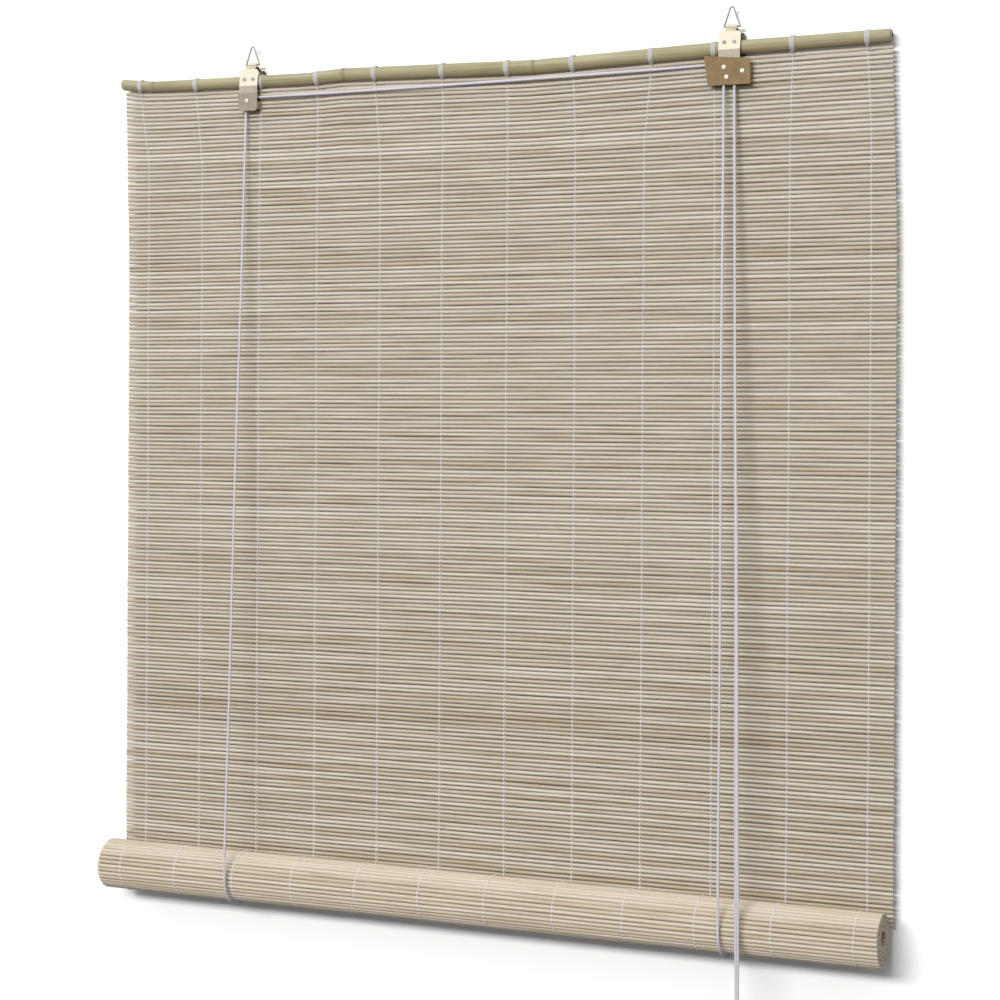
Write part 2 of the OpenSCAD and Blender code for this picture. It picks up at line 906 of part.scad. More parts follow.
module mat_roll() {
    color([0.87, 0.8, 0.68])
        union() {
            for (i = [0 : roll_sticks - 1])
                along_x(roll_x, mat_w)
                    translate(on_roll(stick_angle(i), turn_r(stick_angle(i))))
                        circle(r = stick_r);
            along_x(roll_x, mat_w)
                spiral_strip(-web_t / 2, web_t / 2, 0, stick_angle(roll_sticks - 1));
        }
}

module roll_threads() {
    color([0.92, 0.92, 0.95])
        for (share = thread_shares)
            along_x(roll_x + mat_w * share - thread_w / 2, thread_w)
                spiral_strip(
                    stick_r + thread_lift,
                    stick_r + thread_lift + thread_t,
                    thread_start,
                    thread_end
                );
}

// a tube swept along the tail's points
module tail(x, y, toward) {
    rings = len(tail_drops);
    points = [
        for (i = [0 : rings - 1])
            for (k = [0 : tail_sides - 1])
                [
                    x + toward * tail_shifts[i] + cord_r * cos(360 * k / tail_sides),
                    y + cord_r * sin(360 * k / tail_sides),
                    roll_z - tail_drops[i]
                ]
    ];
    sides = [
        for (i = [0 : rings - 2])
            for (k = [0 : tail_sides - 1])
                [
                    i * tail_sides + k,
                    i * tail_sides + (k + 1) % tail_sides,
                    (i + 1) * tail_sides + (k + 1) % tail_sides,
                    (i + 1) * tail_sides + k
                ]
    ];
    top = [for (k = [tail_sides - 1 : -1 : 0]) k];
    foot = [for (k = [0 : tail_sides - 1]) (rings - 1) * tail_sides + k];
    polyhedron(points, concat([top], sides, [foot]));
}

module left_pull_tail() {
    color([0.93, 0.93, 0.95])
        tail(left_pull_x, bight_front_y, 1);
}

module right_pull_tail() {
    color([0.93, 0.93, 0.95])
        tail(right_pull_x, right_pull_y, -1);
}

module cord_hank() {
    straight = hank_h - hank_w;
    color([0.92, 0.92, 0.94])
        plate(hank_y + hank_depth / 2, hank_depth) {
            translate([hank_x - hank_w / 2, hank_z - straight / 2])
                square([hank_w, straight]);
            for (side = [-1, 1])
                translate([hank_x, hank_z + side * straight / 2])
                    circle(r = hank_w / 2);
        }
}

module hank_tie() {
    inner_w = hank_w + 2 * fit;
    inner_depth = hank_depth + 2 * fit;
    color([0.9, 0.9, 0.92])
        translate([hank_x, hank_y, hank_z])
            difference() {
                cube([inner_w + 2 * tie_t, inner_depth + 2 * tie_t, tie_h], center = true);
                cube([inner_w, inner_depth, tie_h + 2 * over], center = true);
            }
}

module pull_cord_ends() {
    color([0.93, 0.93, 0.95])
        for (side = [-1, 1])
            translate([hank_x + side * cord_d, end_y, hank_z - hank_h / 2 - end_len])
                cylinder(h = end_len, r = cord_r);
}

module pull_cord_knots() {
    color([0.93, 0.93, 0.95])
        for (side = [-1, 1])
            translate([hank_x + side * cord_d, end_y, hank_z - hank_h / 2 - end_len - knot_d / 2])
                sphere(r = knot_d / 2 - fit);
}

head_rod();
rod_bindings();
reed_mat();
warp_threads();
left_strap();
right_strap();
left_strap_screws();
right_strap_screws();
left_ring();
right_ring();
pulley_box();
left_roller();
left_roller_rivet();
lock_housing();
upper_lock_roller();
lower_lock_roller();
lock_cam();
upper_roller_rivet();
lower_roller_rivet();
cam_rivet();
left_cord_back_leg();
left_cord_front_leg();
left_cord_bight();
left_cord_cross_run();
right_cord_back_leg();
right_cord_front_leg();
right_cord_bight();
right_cord_turn();
back_leg_knots();
left_pull_leg();
right_pull_leg();
mat_roll();
roll_threads();
left_pull_tail();
right_pull_tail();
cord_hank();
hank_tie();
pull_cord_ends();
pull_cord_knots();
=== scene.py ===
"""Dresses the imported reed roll-up blind: sticks, threads, cords, rod and metal finishes."""
import json
import math

import bpy
import numpy as np
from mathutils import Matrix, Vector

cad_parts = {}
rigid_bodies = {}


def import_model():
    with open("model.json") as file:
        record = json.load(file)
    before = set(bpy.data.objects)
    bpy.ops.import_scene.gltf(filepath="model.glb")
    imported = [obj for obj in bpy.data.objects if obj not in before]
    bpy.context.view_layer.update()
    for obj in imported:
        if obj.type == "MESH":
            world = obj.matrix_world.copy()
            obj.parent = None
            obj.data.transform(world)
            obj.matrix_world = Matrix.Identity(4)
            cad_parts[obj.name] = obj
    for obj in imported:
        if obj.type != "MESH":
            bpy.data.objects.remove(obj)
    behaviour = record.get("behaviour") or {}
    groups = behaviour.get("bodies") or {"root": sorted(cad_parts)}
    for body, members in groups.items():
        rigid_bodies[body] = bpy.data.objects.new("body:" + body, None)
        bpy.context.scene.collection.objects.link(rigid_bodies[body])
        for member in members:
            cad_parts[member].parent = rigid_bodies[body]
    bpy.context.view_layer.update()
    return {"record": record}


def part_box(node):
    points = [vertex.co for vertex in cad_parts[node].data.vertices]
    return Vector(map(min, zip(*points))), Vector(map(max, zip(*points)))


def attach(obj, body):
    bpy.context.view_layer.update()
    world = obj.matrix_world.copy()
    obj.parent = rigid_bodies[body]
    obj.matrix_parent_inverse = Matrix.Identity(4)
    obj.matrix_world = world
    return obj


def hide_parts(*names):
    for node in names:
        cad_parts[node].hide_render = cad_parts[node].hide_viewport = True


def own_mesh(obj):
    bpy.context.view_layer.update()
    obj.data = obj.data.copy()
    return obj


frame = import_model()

rng = np.random.default_rng(7)

# Main sizes, in metres, as in the part's source
MM = 0.001
STICK_R = 0.0017
STICK_PITCH = 0.00395
CORD_D = 0.0024
CORD_R = CORD_D / 2
THREAD_SHARES = [0.032, 0.111, 0.194, 0.276, 0.363, 0.447, 0.5325, 0.6195, 0.705, 0.791, 0.88, 0.9735]
BINDING_SHARES = [0.0225, 0.105, 0.199, 0.2785, 0.3585, 0.45, 0.535, 0.619, 0.717, 0.793, 0.8855, 0.9715]
ROLL_SHIFT = -0.003
ROLL_R = 0.0245
ROLL_TURNS = 4.5
TURN_PITCH = 0.0038
ROD_X_SHARES = [0, 0.046, 0.272, 0.319, 0.571, 0.814, 1]
ROD_DIP_SHARES = [0, 0.5, 0.74, 0.48, 1, 0.27, 0]
ROD_R_SHARES = [0.8, 0.82, 0.9, 0.94, 1, 0.97, 0.89]
KNUCKLES = [1, 3, 4]
ROD_R = 0.007
ROD_LINE_Z = -0.0287
ROD_BOW = 0.0081
SPAN = 0.502
RIGHT_RISE = 0.006
BACK_PLATE_T = 0.0008
COVER_T = 0.001
ROOM_SIDE = 0.0002
CORD_SIDE = 0.0001
FRONT_LEAN = 0.0003
TURN_R = 0.00345

joints = {joint["name"]: joint for joint in frame["record"]["behaviour"]["joints"]}
_, ROLL_Y, ROLL_Z = joints["roll_spin"]["pos_m"]

mat_low, mat_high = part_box("reed_mat")
MAT_X0, MAT_X1 = mat_low[0], mat_high[0]
MAT_TOP = mat_high[2] - STICK_R
STICKS = round((mat_high[2] - mat_low[2] - 2 * STICK_R) / STICK_PITCH) + 1
THREADS = [MAT_X0 + share * (MAT_X1 - MAT_X0) for share in THREAD_SHARES]
BINDINGS = [MAT_X0 + share * (MAT_X1 - MAT_X0) for share in BINDING_SHARES]
rod_low, rod_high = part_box("head_rod")
ROD_X = [rod_low[0] + share * (rod_high[0] - rod_low[0]) for share in ROD_X_SHARES]


# Camera, at the photograph's viewing angle

camera = bpy.data.objects.new("camera", bpy.data.cameras.new("camera"))
bpy.context.scene.collection.objects.link(camera)
camera.location = (1.117, -1.928, -0.339)
camera.rotation_euler = (math.radians(90), 0, math.radians(23.7))
camera.data.sensor_width = 36
camera.data.lens = 79.44
camera.data.shift_y = -0.114
bpy.context.scene.camera = camera


# Materials


class Shader:
    """A material's node tree with short calls for its nodes."""

    def __init__(self, name, roughness, metallic=0.0):
        self.material = bpy.data.materials.new(name)
        self.material.use_nodes = True
        self.tree = self.material.node_tree
        self.surface = self.tree.nodes["Principled BSDF"]
        self.surface.inputs["Roughness"].default_value = roughness
        self.surface.inputs["Metallic"].default_value = metallic

    def set(self, socket, value):
        if isinstance(value, bpy.types.NodeSocket):
            self.tree.links.new(value, socket)
        else:
            socket.default_value = value

    def node(self, kind, output=0, settings=None, **inputs):
        """A node's output. An input is named, with _ for a space, or numbered: i0, i1 and so on."""
        node = self.tree.nodes.new(kind)
        for key, value in (settings or {}).items():
            setattr(node, key, value)
        for key, value in inputs.items():
            index = int(key[1:]) if key[0] == "i" and key[1:].isdigit() else key.replace("_", " ")
            self.set(node.inputs[index], value)
        return node.outputs[output]

    def place(self, scale, kind="Object"):
        coordinates = self.tree.nodes.new("ShaderNodeTexCoord").outputs[kind]
        return self.node("ShaderNodeMapping", Vector=coordinates, Scale=scale)

    def upward(self, kind):
        """The z part of a place or a direction."""
        return self.node("ShaderNodeSeparateXYZ", output=2, Vector=self.place((1, 1, 1), kind))

    def noise(self, scale, detail, roughness=0.55):
        vector = self.place(scale)
        return self.node("ShaderNodeTexNoise", Vector=vector, Scale=1.0, Detail=detail, Roughness=roughness)

    def math(self, operation, a, b=0.0):
        return self.node("ShaderNodeMath", settings={"operation": operation}, i0=a, i1=b)

    def fit(self, value, low, high):
        return self.node("ShaderNodeMapRange", Value=value, To_Min=low, To_Max=high)

    def ramp(self, value, *stops):
        node = self.tree.nodes.new("ShaderNodeValToRGB")
        elements = node.color_ramp.elements
        while len(elements) < len(stops):
            elements.new(1.0)
        for element, (position, colour) in zip(elements, stops):
            element.position = position
            element.color = (*colour, 1.0)
        self.set(node.inputs["Fac"], value)
        return node.outputs["Color"]

    def mix(self, share, a, b):
        node = self.tree.nodes.new("ShaderNodeMix")
        node.data_type = "RGBA"
        self.set(node.inputs["Factor"], share)
        for socket, value in ((node.inputs[6], a), (node.inputs[7], b)):
            self.set(socket, value if isinstance(value, bpy.types.NodeSocket) else (*value, 1.0))
        return node.outputs[2]

    def attribute(self, name):
        return self.node("ShaderNodeAttribute", output=2, settings={"attribute_name": name})

    def finish(self, colour, roughness=None, height=None, depth=0.0, strength=1.0):
        self.set(self.surface.inputs["Base Color"], colour)
        if roughness is not None:
            self.set(self.surface.inputs["Roughness"], roughness)
        if height is not None:
            bump = self.node("ShaderNodeBump", Height=height, Distance=depth, Strength=strength)
            self.set(self.surface.inputs["Normal"], bump)
        return self.material


def reed_material(name, dark, middle, light):
    """Dry reed: long fibres, patches and specks, a tone for each stick, a little darker towards the foot."""
    foot_share = 0.08
    speck_share = 0.45
    fibre_depth = 0.0004
    fibre_strength = 0.5
    shader = Shader(name, 0.6)
    tone = shader.attribute("tone")
    fibres = shader.noise((9, 1100, 1100), detail=4)
    patches = shader.noise((14, 160, 160), detail=2)
    specks = shader.noise((60, 420, 420), detail=2)
    value = shader.fit(tone, 0.08, 0.34)
    value = shader.math("ADD", value, shader.fit(fibres, -0.1, 0.4))
    value = shader.math("ADD", value, shader.fit(patches, -0.15, 0.35))
    colour = shader.ramp(value, (0.1, dark), (0.45, middle), (0.85, light))
    low = shader.node("ShaderNodeMapRange", Value=shader.upward("Object"), From_Min=-0.1, From_Max=-0.8)
    colour = shader.mix(shader.math("MULTIPLY", low, foot_share), colour, dark)
    mark = shader.ramp(specks, (0.66, (0, 0, 0)), (0.74, (1, 1, 1)))
    colour = shader.mix(shader.math("MULTIPLY", mark, speck_share), colour, dark)
    return shader.finish(colour, shader.fit(fibres, 0.5, 0.72), fibres, fibre_depth, fibre_strength)


def rod_material():
    """Old bamboo: streaked and browner at the knuckles, with painted shade on its downward-facing side."""
    # Colour of the painted shade on the rod's underside
    below = (0.22, 0.165, 0.08)
    at_knuckle = (0.22, 0.16, 0.08)
    underside_shade_share = 0.5
    fibre_depth = 0.0003
    fibre_strength = 0.4
    shader = Shader("bamboo_rod", 0.42)
    fibres = shader.noise((7, 700, 700), detail=4)
    patches = shader.noise((11, 45, 45), detail=3)
    colour = shader.ramp(
        shader.math("ADD", shader.fit(fibres, 0.0, 0.5), shader.fit(patches, 0.0, 0.5)),
        (0.3, (0.20, 0.165, 0.085)),
        (0.5, (0.33, 0.305, 0.185)),
        (0.7, (0.44, 0.42, 0.285)),
    )
    # Painted shade: the more a side faces down, the more it is mixed towards the dark underside colour.
    facing = shader.upward("Normal")
    under = shader.node("ShaderNodeMapRange", Value=facing, From_Min=0.4, From_Max=-0.7, To_Max=underside_shade_share)
    colour = shader.mix(under, colour, below)
    colour = shader.mix(shader.attribute("knuckle"), colour, at_knuckle)
    return shader.finish(colour, shader.fit(patches, 0.3, 0.52), fibres, fibre_depth, fibre_strength)


def strand_material(name, colour, groove_shade, turns, pitch, depth):
    """Twisted or braided white yarn: ridges that cross in the piece's own lengthwise mapping, with painted
    shade in the grooves between them.
    """
    shader = Shader(name, 0.85)
    across, along, _ = shader.tree.nodes.new("ShaderNodeSeparateXYZ").outputs
    shader.set(across.node.inputs[0], shader.place((1, 1, 1), "UV"))
    around = shader.math("MULTIPLY", across, 2 * math.pi * turns)
    lengthwise = shader.math("MULTIPLY", along, 2 * math.pi / pitch)
    right = shader.math("SINE", shader.math("ADD", around, lengthwise))
    left = shader.math("SINE", shader.math("SUBTRACT", around, lengthwise))
    braid = shader.math("MAXIMUM", right, left)
    soil = shader.noise((90, 90, 90), detail=3)
    # Colour: painted shade in the grooves between the braid's ridges, mixed with soil noise for dirt.
    value = shader.math("ADD", shader.fit(braid, 0.0, 0.6), shader.fit(soil, 0.0, 0.4))
    tint = shader.ramp(value, (0.1, groove_shade), (0.6, colour))
    shader.surface.inputs["Sheen Weight"].default_value = 0.2
    return shader.finish(tint, shader.fit(soil, 0.75, 0.95), braid, depth)


def metal_material(name, colour, stain, roughness, metallic=1.0):
    """Brushed metal with a cloudy stain."""
    brush_depth = 0.00006
    brush_strength = 0.1
    shader = Shader(name, roughness, metallic)
    brushed = shader.noise((40, 900, 900), detail=3)
    clouds = shader.noise((130, 130, 130), detail=4, roughness=0.65)
    value = shader.math("ADD", shader.fit(brushed, 0.0, 0.35), shader.fit(clouds, 0.0, 0.65))
    tint = shader.ramp(value, (0.36, stain), (0.6, colour))
    rough = shader.fit(clouds, roughness - 0.1, roughness + 0.12)
    return shader.finish(tint, rough, brushed, brush_depth, brush_strength)


REED = reed_material("reed", (0.34, 0.255, 0.15), (0.495, 0.445, 0.365), (0.675, 0.635, 0.57))
# The roll's reed is the mat's reed painted paler and with lighter darks: painted light on the roll.
LIT_ROLL_REED = reed_material("roll_reed", (0.38, 0.30, 0.21), (0.57, 0.495, 0.39), (0.655, 0.61, 0.54))
ROD = rod_material()
CORD = strand_material("cord", (0.66, 0.64, 0.71), (0.50, 0.49, 0.56), 3, 0.0032, 0.0002)
THREAD = strand_material("thread", (0.76, 0.76, 0.80), (0.62, 0.61, 0.66), 2, 0.0016, 0.0001)
WRAP = strand_material("wrap", (0.60, 0.58, 0.57), (0.47, 0.45, 0.43), 2, 0.0016, 0.0001)
METALS = {
    "zinc_steel": metal_material("zinc_steel", (0.60, 0.545, 0.43), (0.54, 0.48, 0.36), 0.24),
    "box_steel": metal_material("box_steel", (0.46, 0.395, 0.305), (0.39, 0.335, 0.255), 0.3),
    "lock_brass": metal_material("lock_brass", (0.325, 0.225, 0.12), (0.285, 0.195, 0.10), 0.28),
    "screw_steel": metal_material("screw_steel", (0.38, 0.37, 0.39), (0.26, 0.25, 0.27), 0.3),
    "ring_wire": metal_material("ring_wire", (0.42, 0.41, 0.38), (0.30, 0.29, 0.26), 0.3),
    "rivet_steel": metal_material("rivet_steel", (0.90, 0.87, 0.86), (0.74, 0.70, 0.68), 0.3, 0.35),
    "roller_steel": metal_material("roller_steel", (0.66, 0.65, 0.62), (0.45, 0.43, 0.40), 0.3),
}


# Swept bars

END_RING = 0.01
CORD_SIDES = 10
KNOT_SIDES = 8
STICK_SIDES = 8
TWINE_SIDES = 5
X_WAY = (1, 0, 0)
Y_WAY = (0, 1, 0)
Z_WAY = (0, 0, 1)


class Bars:
    """Gathers round bars, each swept along a row of points, into one mesh."""

    def __init__(self):
        self.points = []
        self.faces = []
        self.maps = []
        self.tones = []
        self.count = 0

    def add(self, path, radius, sides, ref, tone=0.5):
        path = np.asarray(path, float)
        radius = np.broadcast_to(radius, len(path))
        # A ring close to each end keeps the end face's shading off the long sides.
        after_first = path[0] + END_RING * (path[1] - path[0])
        before_last = path[-1] + END_RING * (path[-2] - path[-1])
        path = np.concatenate([path[:1], [after_first], path[1:-1], [before_last], path[-1:]])
        radius = np.concatenate([radius[:1], radius, radius[-1:]])
        rows = len(path)
        along = np.gradient(path, axis=0)
        along /= np.linalg.norm(along, axis=1)[:, None]
        side = np.cross(along, np.asarray(ref, float))
        side /= np.linalg.norm(side, axis=1)[:, None]
        up = np.cross(side, along)
        turn = np.linspace(0, 2 * math.pi, sides, endpoint=False)
        ring = np.cos(turn)[None, :, None] * side[:, None] + np.sin(turn)[None, :, None] * up[:, None]
        self.points.append((path[:, None] + radius[:, None, None] * ring).reshape(-1, 3))
        numbers = np.meshgrid(np.arange(rows - 1), np.arange(sides), indexing="ij")
        row, k = (grid.ravel() for grid in numbers)
        first, second = row * sides + k, row * sides + (k + 1) % sides
        quads = np.stack([first, first + sides, second + sides, second], axis=1) + self.count
        self.faces.extend(map(tuple, quads.tolist()))
        length = np.concatenate([[0], np.cumsum(np.linalg.norm(np.diff(path, axis=0), axis=1))])
        across = np.stack([k, k, k + 1, k + 1], axis=1) / sides
        lengthwise = np.stack([length[row], length[row + 1], length[row + 1], length[row]], axis=1)
        self.maps.append(np.stack([across, lengthwise], axis=2).reshape(-1, 2))
        last = self.count + (rows - 1) * sides
        self.faces.append(tuple(range(self.count, self.count + sides)))
        self.faces.append(tuple(range(last + sides - 1, last - 1, -1)))
        self.maps.append(np.zeros((2 * sides, 2)))
        self.tones.append(np.full(rows * sides, tone))
        self.count += rows * sides

    def build(self, name, material, slot, *nodes):
        mesh = bpy.data.meshes.new(name)
        mesh.from_pydata(np.concatenate(self.points).tolist(), [], self.faces)
        mesh.uv_layers.new(name="lengthwise").data.foreach_set("uv", np.concatenate(self.maps).ravel())
        mesh.attributes.new("tone", "FLOAT", "POINT").data.foreach_set("value", np.concatenate(self.tones))
        mesh.polygons.foreach_set("use_smooth", [len(face) == 4 for face in self.faces])
        mesh.materials.append(material)
        piece = bpy.data.objects.new(name, mesh)
        bpy.context.scene.collection.objects.link(piece)
        if nodes:
            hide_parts(*nodes)
        return piece


def single_cord(name, path, radius, ref, *nodes):
    bars = Bars()
    bars.add(path, radius, CORD_SIDES, ref)
    return bars.build(name, CORD, "cord", *nodes)


def rise_with_roll(piece):
    """Attaches the piece to the head and gives it a mesh of its own."""
    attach(piece, "head")
    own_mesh(piece)


def smooth(path, spacing):
    """A rounded path along the points, with points about spacing apart."""
    path = np.asarray(path, float)
    for _ in range(3):
        cut = np.empty((2 * len(path) - 2, 3))
        cut[0::2] = 0.75 * path[:-1] + 0.25 * path[1:]
        cut[1::2] = 0.25 * path[:-1] + 0.75 * path[1:]
        path = np.concatenate([path[:1], cut, path[-1:]])
    length = np.concatenate([[0], np.cumsum(np.linalg.norm(np.diff(path, axis=0), axis=1))])
    even = np.linspace(0, length[-1], max(2, round(length[-1] / spacing)) + 1)
    return np.stack([np.interp(even, length, path[:, axis]) for axis in range(3)], axis=1)


# Free cords: the pull cords' tails, and the hank that holds their unseen length

leg_low, leg_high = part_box("left_cord_bight")
BIGHT_R = (leg_high[1] - leg_low[1]) / 2 - CORD_R
FRONT_Y = ROLL_Y - BIGHT_R
BACK_Y = ROLL_Y + BIGHT_R
LEFT_X = (leg_low[0] + leg_high[0]) / 2
RIGHT_X = sum(corner[0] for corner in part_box("right_cord_bight")) / 2
hank_low, hank_high = (np.array(corner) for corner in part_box("cord_hank"))
HANK_X, _, HANK_Z = (hank_low + hank_high) / 2
ends_low, ends_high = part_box("pull_cord_ends")
END_Y = (ends_low[1] + ends_high[1]) / 2
END_Z = ends_low[2]
# The route down from the roll's axis, in millimetres down and sideways
TAIL_DROPS = [0, 5, 10, 15, 20, 25, 30, 35, 40, 45, 50, 55, 60, 66, 72, 76]
TAIL_SHIFTS = [0, 0, 0, 0, 0, 0, 0.1, 0.1, 0.1, 0.2, 0.2, 0.2, 0.3, 0.3, 0.4, 0.4]
# The route out of the hank: shares of the way to FOOT_RISE above the cord's end, then rises above the end
FOOT_SHARES = [0.35, 0.7, 1.0]
FOOT_RISE = 0.02
END_RISES = [0.014, 0.007, -0.001]
HANK_RUN = 0.038
RUN_POINTS = 5
FOLD_POINTS = 11
LEFT_FOLD_R = 0.0072
RIGHT_FOLD_R = 0.0097
LEFT_PULL_X = SPAN + 0.0199
RIGHT_PULL_X = SPAN + 0.0228
PULL_DEPTH = 0.0024


def tail_path(x, y, toward, fold_r, turns):
    """Down over the roll, wound on edge in the hank from its front to its back, and out at its foot."""
    points = [
        (x + toward * MM * shift, y, ROLL_Z - MM * drop)
        for drop, shift in zip(TAIL_DROPS, TAIL_SHIFTS)
    ]
    run = HANK_RUN / 2
    fold = np.linspace(0, math.pi, FOLD_POINTS)[1:-1]
    loop = [(-1, height) for height in np.linspace(run, -run, RUN_POINTS)]
    loop += [(-math.cos(a), -run - fold_r * math.sin(a)) for a in fold]
    loop += [(1, height) for height in np.linspace(-run, run, RUN_POINTS)]
    loop += [(math.cos(a), run + fold_r * math.sin(a)) for a in fold]
    total = turns * len(loop) + RUN_POINTS
    for step in range(total):
        across, height = loop[step % len(loop)]
        depth = y + (END_Y - y) * step / (total - 1)
        points.append((HANK_X + toward * across * fold_r, depth, HANK_Z + height))
    start_x, _, start_z = points[-1]
    foot_x = HANK_X - toward * CORD_D
    for share in FOOT_SHARES:
        bend = share * share * (3 - 2 * share)
        z = start_z + (END_Z + FOOT_RISE - start_z) * share
        points.append((start_x + (foot_x - start_x) * bend, END_Y, z))
    points += [(foot_x, END_Y, END_Z + rise) for rise in END_RISES]
    return np.array(points)


for name, x, y, toward, fold_r, turns in (
    ("left_tail", LEFT_PULL_X, FRONT_Y, 1, LEFT_FOLD_R, 7),
    ("right_tail", RIGHT_PULL_X, FRONT_Y - PULL_DEPTH, -1, RIGHT_FOLD_R, 6),
):
    path = tail_path(x, y, toward, fold_r, turns)
    nodes = (f"{name[:-5]}_pull_tail",)
    if name == "left_tail":
        nodes += ("cord_hank", "pull_cord_ends")
    tail = single_cord(name, path, CORD_R, Y_WAY, *nodes)
    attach(tail, "lift")

KNOT_SIZE = 0.00105
END_KNOT_R = 0.00075


def knot_path(centre):
    """A trefoil about the vertical through its centre."""
    turn = np.linspace(0, 2 * math.pi, 61)
    reach = KNOT_SIZE * (np.cos(3 * turn) * 0.42 + 1)
    return np.stack(
        [
            centre[0] + reach * np.cos(2 * turn),
            centre[1] + reach * np.sin(2 * turn),
            centre[2] + 1.25 * KNOT_SIZE * np.sin(3 * turn),
        ],
        axis=1,
    )


knots = Bars()
knot_low, knot_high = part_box("pull_cord_knots")
KNOT_Z = (knot_low[2] + knot_high[2]) / 2
for side in (-1, 1):
    knots.add(knot_path((HANK_X + side * CORD_D, END_Y, KNOT_Z)), END_KNOT_R, KNOT_SIDES, Z_WAY)
end_knots = knots.build("end_knots", CORD, "cord", "pull_cord_knots")
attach(end_knots, "lift")

TIE_R = 0.00058
TIE_MARGIN = 0.0006
TIE_TURNS = 4
TIE_STEPS = 40
TIE_HALF_HEIGHT = 0.0022
TIE_SQUARENESS = 6
tie = Bars()
tie_low, tie_high = (np.array(corner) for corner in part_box("hank_tie"))
tie_mid = (tie_low + tie_high) / 2
tie_half = (tie_high - tie_low) / 2 - TIE_MARGIN
turn = np.linspace(0, 2 * math.pi * TIE_TURNS, TIE_TURNS * TIE_STEPS + 1)
bulge = np.abs(np.cos(turn)) ** TIE_SQUARENESS + np.abs(np.sin(turn)) ** TIE_SQUARENESS
square = bulge ** (-1 / TIE_SQUARENESS)
tie_path = np.stack(
    [
        tie_mid[0] + tie_half[0] * np.clip(square * np.cos(turn), -1, 1),
        tie_mid[1] + tie_half[1] * np.clip(square * np.sin(turn), -1, 1),
        tie_mid[2] + np.linspace(-TIE_HALF_HEIGHT, TIE_HALF_HEIGHT, len(turn)),
    ],
    axis=1,
)
tie.add(tie_path, TIE_R, KNOT_SIDES, Z_WAY)
hank_wrap = tie.build("hank_wrap", THREAD, "cord", "hank_tie")
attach(hank_wrap, "lift")


# Lift cords, and the pull cords' upper stretches

LEG_SPACING = 0.02
LEG_SWAY = 0.0004
LEG_WAVES = 9
LEG_PHASE = 40
# In front of the roll the cords run straight up past its top, so that the raised roll stays clear of them.
ROLL_REACH = 0.0262
REACH_POINTS = 8
BIGHT_POINTS = 40
REAR_Y = (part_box("pulley_box")[1][1] - BACK_PLATE_T) - ROOM_SIDE - CORD_R - CORD_SIDE
FACE_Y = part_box("pulley_box")[0][1] + COVER_T + ROOM_SIDE + CORD_R + CORD_SIDE + FRONT_LEAN
LOCK_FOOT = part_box("lock_housing")[0][2]
# Axes of the rollers and the mouth of the lock, as x and z
LEFT_ROLLER = (-0.001, -0.0539)
UPPER_ROLLER = (SPAN - 0.0046, RIGHT_RISE - 0.0552)
LOWER_ROLLER = (SPAN - 0.0021, RIGHT_RISE - 0.0643)
MOUTH = (SPAN + 0.0045, LOCK_FOOT)
TAB_Y = 0.0052
TAB_Z = -0.05
LEFT_DROP = 0.0066
RIGHT_DROP = LOWER_ROLLER[1] - LOCK_FOOT


def leg(name, top, foot):
    """A straight stretch of cord from a fixed top down to a foot at the roll."""
    count = max(8, round((top[2] - foot[2]) / LEG_SPACING))
    share = np.linspace(0, 1, count)[:, None]
    path = np.array(top) * (1 - share) + np.array(foot) * share
    waver = np.sin(share[:, 0] * math.pi) * np.sin(share[:, 0] * LEG_WAVES + foot[0] * LEG_PHASE)
    path[:, 0] += LEG_SWAY * waver
    piece = single_cord(f"{name}_cord", path, CORD_R, X_WAY, name)
    rise_with_roll(piece)


def before_roll(x, y):
    """The stretch of cord in front of the roll's upper half, from its top down."""
    return np.array([(x, y, ROLL_Z + ROLL_REACH * share) for share in np.linspace(1, 0, REACH_POINTS)])


def below_roller(top, foot, drop):
    """The point of a leg that lies drop below the roller that it hangs from."""
    share = drop / (top[2] - foot[2])
    return np.array(top) * (1 - share) + np.array(foot) * share


left_reach = before_roll(LEFT_X, FRONT_Y)
right_reach = before_roll(RIGHT_X, FRONT_Y)
left_hold = below_roller((LEFT_ROLLER[0] - TURN_R, REAR_Y, LEFT_ROLLER[1]), left_reach[0], LEFT_DROP)
right_hold = below_roller((LOWER_ROLLER[0] - TURN_R, FACE_Y, LOWER_ROLLER[1]), right_reach[0], RIGHT_DROP)

leg("left_cord_back_leg", (LEFT_X, TAB_Y, TAB_Z), (LEFT_X, BACK_Y, ROLL_Z))
leg("right_cord_back_leg", (RIGHT_X, TAB_Y, RIGHT_RISE + TAB_Z), (RIGHT_X, BACK_Y, ROLL_Z))
leg("left_cord_front_leg", left_hold, left_reach[0])
leg("right_cord_front_leg", right_hold, right_reach[0])

for name, top_y, x, y in (
    ("left_pull", REAR_Y, LEFT_PULL_X, FRONT_Y),
    ("right_pull", FACE_Y, RIGHT_PULL_X, FRONT_Y - PULL_DEPTH),
):
    reach = before_roll(x, y)
    leg(f"{name}_leg", (MOUTH[0], top_y, LOCK_FOOT), reach[0])
    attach(single_cord(f"{name}_reach", reach, CORD_R, X_WAY), "lift")

turn = np.linspace(0, math.pi, BIGHT_POINTS)
bight_y = ROLL_Y - BIGHT_R * np.cos(turn)
bight_z = ROLL_Z - BIGHT_R * np.sin(turn)
for name, x, reach in (("left_cord_bight", LEFT_X, left_reach), ("right_cord_bight", RIGHT_X, right_reach)):
    path = np.stack([np.full(BIGHT_POINTS, x), bight_y, bight_z], axis=1)
    path = np.concatenate([reach[:-1], path])
    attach(single_cord(f"{name}_cord", path, CORD_R, X_WAY, name), "lift")


